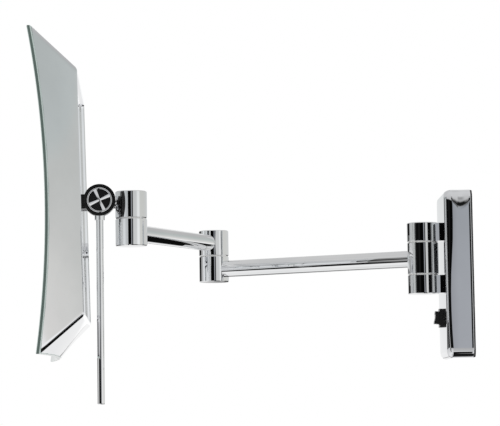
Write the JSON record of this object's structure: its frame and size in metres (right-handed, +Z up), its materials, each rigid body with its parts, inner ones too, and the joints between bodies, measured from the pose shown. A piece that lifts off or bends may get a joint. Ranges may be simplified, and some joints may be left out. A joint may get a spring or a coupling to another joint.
{
  "type": "extendable shaving mirror",
  "caption": "Square concave mirror head on a folding two-part tube arm, with a rocker-switched wall unit, a tilt joint with tension knob, and a hanging handle rod.",
  "frame": {"origin": "centre of the wall unit's back face, on the wall", "axes": "+X into the wall, so the mirror stands out along -X; +Z up; -Y is the side of the handle"},
  "size_m": [0.3233, 0.2415, 0.2582],
  "materials": {
    "chrome": "bright chrome plating",
    "chrome_sheet": "bright chrome-plated sheet",
    "mirror": "silvered glass, ground green edge",
    "black_plastic": "black moulded plastic, satin",
    "steel": "plain zinc-plated steel",
    "bush": "natural acetal",
    "rubber": "black rubber",
    "cable": "black cable sheath",
    "white_plastic": "white moulded plastic",
    "diffuser": "opal diffuser",
    "board": "white-coated circuit board",
    "led": "phosphor-coated LED"
  },
  "bodies": {
    "wall_unit": {"mounting_plate": "steel", "cover_shell": "chrome_sheet", "cover_screws": "steel", "cable_grommet": "rubber", "led_driver": "white_plastic", "terminal_block": "white_plastic", "switch_body": "black_plastic", "backing_plate": "steel", "lug_screws": "steel", "upper_lug": "chrome", "lower_lug": "chrome", "wall_pin": "steel", "wall_washers": "bush", "wall_nut": "steel", "wall_caps": "chrome"},
    "rocker": {"switch_rocker": "black_plastic"},
    "arm1": {"arm1_wall_knuckle": "chrome", "wall_bush": "bush", "arm1_tube": "chrome", "arm1_elbow_knuckle": "chrome", "arm1_cable": "cable", "elbow_pin": "steel", "elbow_washer": "bush", "elbow_nut": "steel", "elbow_lower_cap": "chrome"},
    "arm2": {"arm2_elbow_knuckle": "chrome", "elbow_bush": "bush", "elbow_spring": "steel", "elbow_upper_cap": "chrome", "arm2_tube": "chrome", "arm2_head_knuckle": "chrome", "arm2_cable": "cable", "head_pin": "steel", "head_washer": "bush", "head_nut": "steel", "head_lower_cap": "chrome"},
    "swivel": {"swivel_knuckle": "chrome", "head_bush": "bush", "head_spring": "steel", "head_upper_cap": "chrome"},
    "head": {"pivot_bracket": "black_plastic", "bracket_screws": "steel", "tilt_shaft": "steel", "friction_washers": "rubber", "handle_collar": "chrome", "handle_rod": "chrome", "handle_hub": "black_plastic", "back_plate": "chrome_sheet", "back_plate_screws": "steel", "mirror_housing": "chrome_sheet", "housing_ledge": "steel", "mirror_glass": "mirror", "led_board": "board", "led_chips": "led", "light_diffuser": "diffuser"},
    "knob": {"tension_knob": "black_plastic", "knob_trim": "chrome"}
  },
  "joints": [
    {"name": "wall_swivel", "type": "hinge", "parent": "wall_unit", "child": "arm1", "pos_m": [-0.0342, 0, 0], "axis": [0, 0, 1], "range_deg": [-60, 65]},
    {"name": "elbow_swivel", "type": "hinge", "parent": "arm1", "child": "arm2", "pos_m": [-0.1903, 0.0876, 0], "axis": [0, 0, -1], "range_deg": [-60, 180]},
    {"name": "head_swivel", "type": "hinge", "parent": "arm2", "child": "swivel", "pos_m": [-0.24887, -0.02734, 0], "axis": [0, 0, 1], "range_deg": [-36, 150]},
    {"name": "mirror_tilt", "type": "hinge", "parent": "swivel", "child": "head", "pos_m": [-0.27154, -0.02833, 0.0557], "axis": [-0.0436, 0.999, 0], "range_deg": [-30, 30]},
    {"name": "tension_knob_turn", "type": "hinge", "parent": "head", "child": "knob", "pos_m": [-0.27154, -0.02833, 0.0557], "axis": [-0.0436, 0.999, 0], "range_deg": [-180, 180]},
    {"name": "switch_rocker", "type": "hinge", "parent": "wall_unit", "child": "rocker", "pos_m": [-0.0221, 0, -0.0314], "axis": [0, 1, 0], "range_deg": [-12, 0]}
  ]
}
